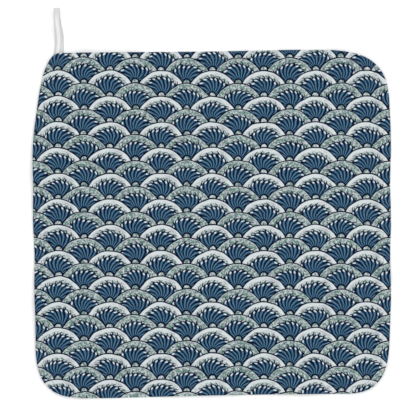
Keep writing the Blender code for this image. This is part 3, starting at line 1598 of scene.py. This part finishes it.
@dataclass
class Threadwork:
    """Builds short stitches of thread as one mesh.

    A stitch stops short of its holes' middles by the size of a hole, and its ends lie off the row
    by the slant, one to each side.
    """

    name: str
    finish: SewingThread
    hole: float
    slant: float = 0.0
    radius: float = 0.00014
    sides: int = 6
    rings: int = 7

    # How a stitch bows out of the cloth and lies sunk in it, and how thin its ends are
    bow: float = 0.85
    sunk: float = 0.65
    bow_power: float = 0.5
    end_girth: float = 0.55
    girth_power: float = 0.4

    def row(self, line: np.ndarray, holes: np.ndarray, side: Side) -> list[Stitch]:
        """Lays one stitch from each hole of a row to the next.

        Args:
            line: The row's points.
            holes: How far along it each hole is.
            side: The side of the towel.

        Returns:
            The stitches.
        """
        starts = along_path(line, holes[:-1] + self.hole)
        ends = along_path(line, holes[1:] - self.hole)
        ahead = ends - starts
        ahead /= np.linalg.norm(ahead, axis=1, keepdims=True)
        aside = np.stack([-ahead[:, 1], ahead[:, 0], np.zeros(len(ahead))], axis=1) * self.slant
        return [(start, end, side) for start, end in zip(starts - aside, ends + aside)]

    def stitch(self, start: np.ndarray, end: np.ndarray, side: Side) -> tuple[np.ndarray, np.ndarray]:
        """One stitch from hole to hole, bowed out of the cloth between them.

        Args:
            start: Where it comes out of the cloth.
            end: Where it goes back in.
            side: The side of the towel that it lies on.

        Returns:
            Its points, and their flat places.
        """
        part = np.linspace(0, 1, self.rings)
        arch = self.radius * (self.bow * np.sin(math.pi * part) ** self.bow_power - self.sunk)
        line = start + (end - start) * part[:, None]
        line[:, 2] += side.value * arch
        run = end - start
        length = float(np.linalg.norm(run))
        ahead = run / (length + TINY)
        beside = np.cross(ahead, [0.0, 0.0, 1.0])
        beside /= np.linalg.norm(beside) + TINY
        above = np.cross(beside, ahead)
        turn = np.linspace(0, TURN, self.sides, endpoint=False)
        swell = (1 - self.end_girth) * np.sin(math.pi * part) ** self.girth_power
        girth = self.radius * (self.end_girth + swell)
        ring = np.cos(turn)[:, None] * beside + np.sin(turn)[:, None] * above
        points = line[:, None] + girth[:, None, None] * ring[None]
        flat = np.stack(np.broadcast_arrays(part[:, None] * length, turn / TURN), axis=-1)
        return points.reshape(-1, 3), flat.reshape(-1, 2)

    def build(self, stitches: Sequence[Stitch]) -> bpy.types.Object:
        """Joins all the stitches into one piece.

        Args:
            stitches: The start, the end and the side of each.

        Returns:
            The piece, with its material.
        """
        points = []
        flats = []
        faces = []
        for number, stitch in enumerate(stitches):
            made, flat = self.stitch(*stitch)
            points.append(made)
            flats.append(flat)
            faces += tube_faces(number * self.rings * self.sides, self.rings, self.sides)
        finishes = [self.finish.material()]
        piece = new_piece(self.name, np.concatenate(points), faces, np.concatenate(flats), finishes)
        outward_faces(piece)
        return piece


@dataclass
class HemStitching:
    """The lockstitch that runs round the hem, seen on both sides."""

    cloth: PrintedCloth
    pitch: float = 0.0028
    work: Threadwork = field(
        default_factory=lambda: Threadwork("hem_stitching", SewingThread(), 0.00020, 0.00010)
    )

    def build(self) -> bpy.types.Object:
        """Lays a stitch in every pitch of the seam, above and below.

        Returns:
            The stitching.
        """
        stitches = []
        for side in Side:
            line = self.cloth.seam_line(side)
            length = path_lengths(line)[-1]
            count = int(length / self.pitch)
            stitches += self.work.row(line, np.arange(count + 1) * length / count, side)
        return self.work.build(stitches)


@dataclass
class LoopBackTack:
    """The seam's stretch over the tape, where the stitching goes back and forth to hold it."""

    cloth: PrintedCloth
    tape: LoopTape
    overrun: float = 0.0030
    rows: tuple[float, ...] = (-0.00040, 0.00042)
    pitch: float = 0.0024
    work: Threadwork = field(
        default_factory=lambda: Threadwork("loop_back_tack", SewingThread("tack_thread"), 0.00015)
    )

    def build(self) -> bpy.types.Object:
        """Lays short rows of stitches beside the seam where it crosses the tape.

        Returns:
            The stitches.
        """
        left = self.tape.left - self.overrun
        right = self.tape.left + self.tape.width + self.tape.lower_shift + self.overrun
        stitches = []
        for side in Side:
            line = self.cloth.seam_line(side)
            above = line[:, 1] > self.tape.end - self.overrun
            over = line[above & (line[:, 0] > left) & (line[:, 0] < right)]
            length = path_lengths(over)[-1]
            count = int(length / self.pitch)
            for row in self.rows:
                start = 0.5 if row > 0 else 0.0
                holes = (np.arange(count + 1) + start) * length / (count + 0.5)
                stitches += self.work.row(over + np.array([0.0, row, 0.0]), holes, side)
        return self.work.build(stitches)


@dataclass
class Studio:
    """The floor, the light and the camera."""

    floor_size: float = 3.0
    lens: float = 300.0
    sensor: float = 36.0
    sky: float = 1.10
    key_power: float = 7.0
    key_size: float = 1.4
    key_place: tuple[float, float, float] = (0.95, 0.75, 1.60)

    def floor(self) -> None:
        """Lays the floor that the towel rests on."""
        half = self.floor_size / 2
        points = np.array([(-half, -half, 0), (half, -half, 0), (half, half, 0), (-half, half, 0)])
        piece = new_piece("floor", points, [(0, 1, 2, 3)], points[:, :2], [PaleFloor().material()])

    def sky_light(self) -> None:
        """Fills the room with even white light."""
        world = bpy.data.worlds.new("room")
        world.use_nodes = True
        background = world.node_tree.nodes["Background"]
        background.inputs["Color"].default_value = (1.0, 1.0, 1.0, 1.0)
        background.inputs["Strength"].default_value = self.sky
        bpy.context.scene.world = world

    def key_light(self) -> None:
        """Hangs one broad soft light up to the right."""
        data = bpy.data.lights.new("soft_key", "AREA")
        data.shape = "DISK"
        data.size = self.key_size
        data.energy = self.key_power
        lamp = bpy.data.objects.new("soft_key", data)
        lamp.location = self.key_place
        lamp.rotation_euler = (-Vector(self.key_place)).to_track_quat("-Z", "Y").to_euler()
        bpy.context.scene.collection.objects.link(lamp)

    def camera(self) -> None:
        """Looks straight down on the middle of the photograph's frame."""
        middle = PHOTO_PIXELS / 2
        data = bpy.data.cameras.new("camera")
        data.lens = self.lens
        data.sensor_width = self.sensor
        eye = bpy.data.objects.new("camera", data)
        height = PHOTO_PIXELS * PIXEL * self.lens / self.sensor
        eye.location = ((middle - PHOTO_ORIGIN[0]) * PIXEL, (PHOTO_ORIGIN[1] - middle) * PIXEL, height)
        bpy.context.scene.collection.objects.link(eye)
        bpy.context.scene.camera = eye

    def build(self) -> None:
        """Sets up the floor, the light, the camera and the plain view of colours."""
        self.floor()
        self.sky_light()
        self.key_light()
        self.camera()
        bpy.context.scene.view_settings.view_transform = "Standard"


def reported(build: Callable[[], bpy.types.Object], nodes: Sequence[str]) -> bpy.types.Object:
    """Builds a piece, hangs it on the towel's body and says so.

    Args:
        build: The method that makes the piece.
        nodes: The solids that it stands for.

    Returns:
        The piece.
    """
    piece = build()
    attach(piece, BODY)
    if nodes:
        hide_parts(*nodes)
    LOG.info("%s: %d points, %d faces", piece.name, len(piece.data.vertices), len(piece.data.polygons))
    return piece


def main() -> None:
    """Builds the towel and the room around it."""
    logging.basicConfig(level=logging.INFO, format="%(name)s: %(message)s")
    Studio().build()
    tape = LoopTape()
    cloth = PrintedCloth(tape)
    cloth_piece = reported(cloth.build, ["towel_cloth"])
    tape_piece = reported(tape.build, ["hanging_loop"])
    stitch_piece = reported(HemStitching(cloth).build, [])
    tack_piece = reported(LoopBackTack(cloth, tape).build, [])
    width, height, area = cloth.cut_size()
    sides = (width * MM_PER_METRE, height * MM_PER_METRE)
    LOG.info("cut cloth: %.1f x %.1f mm, %.4f square metres", *sides, area)


if __name__ == "__main__":
    main()
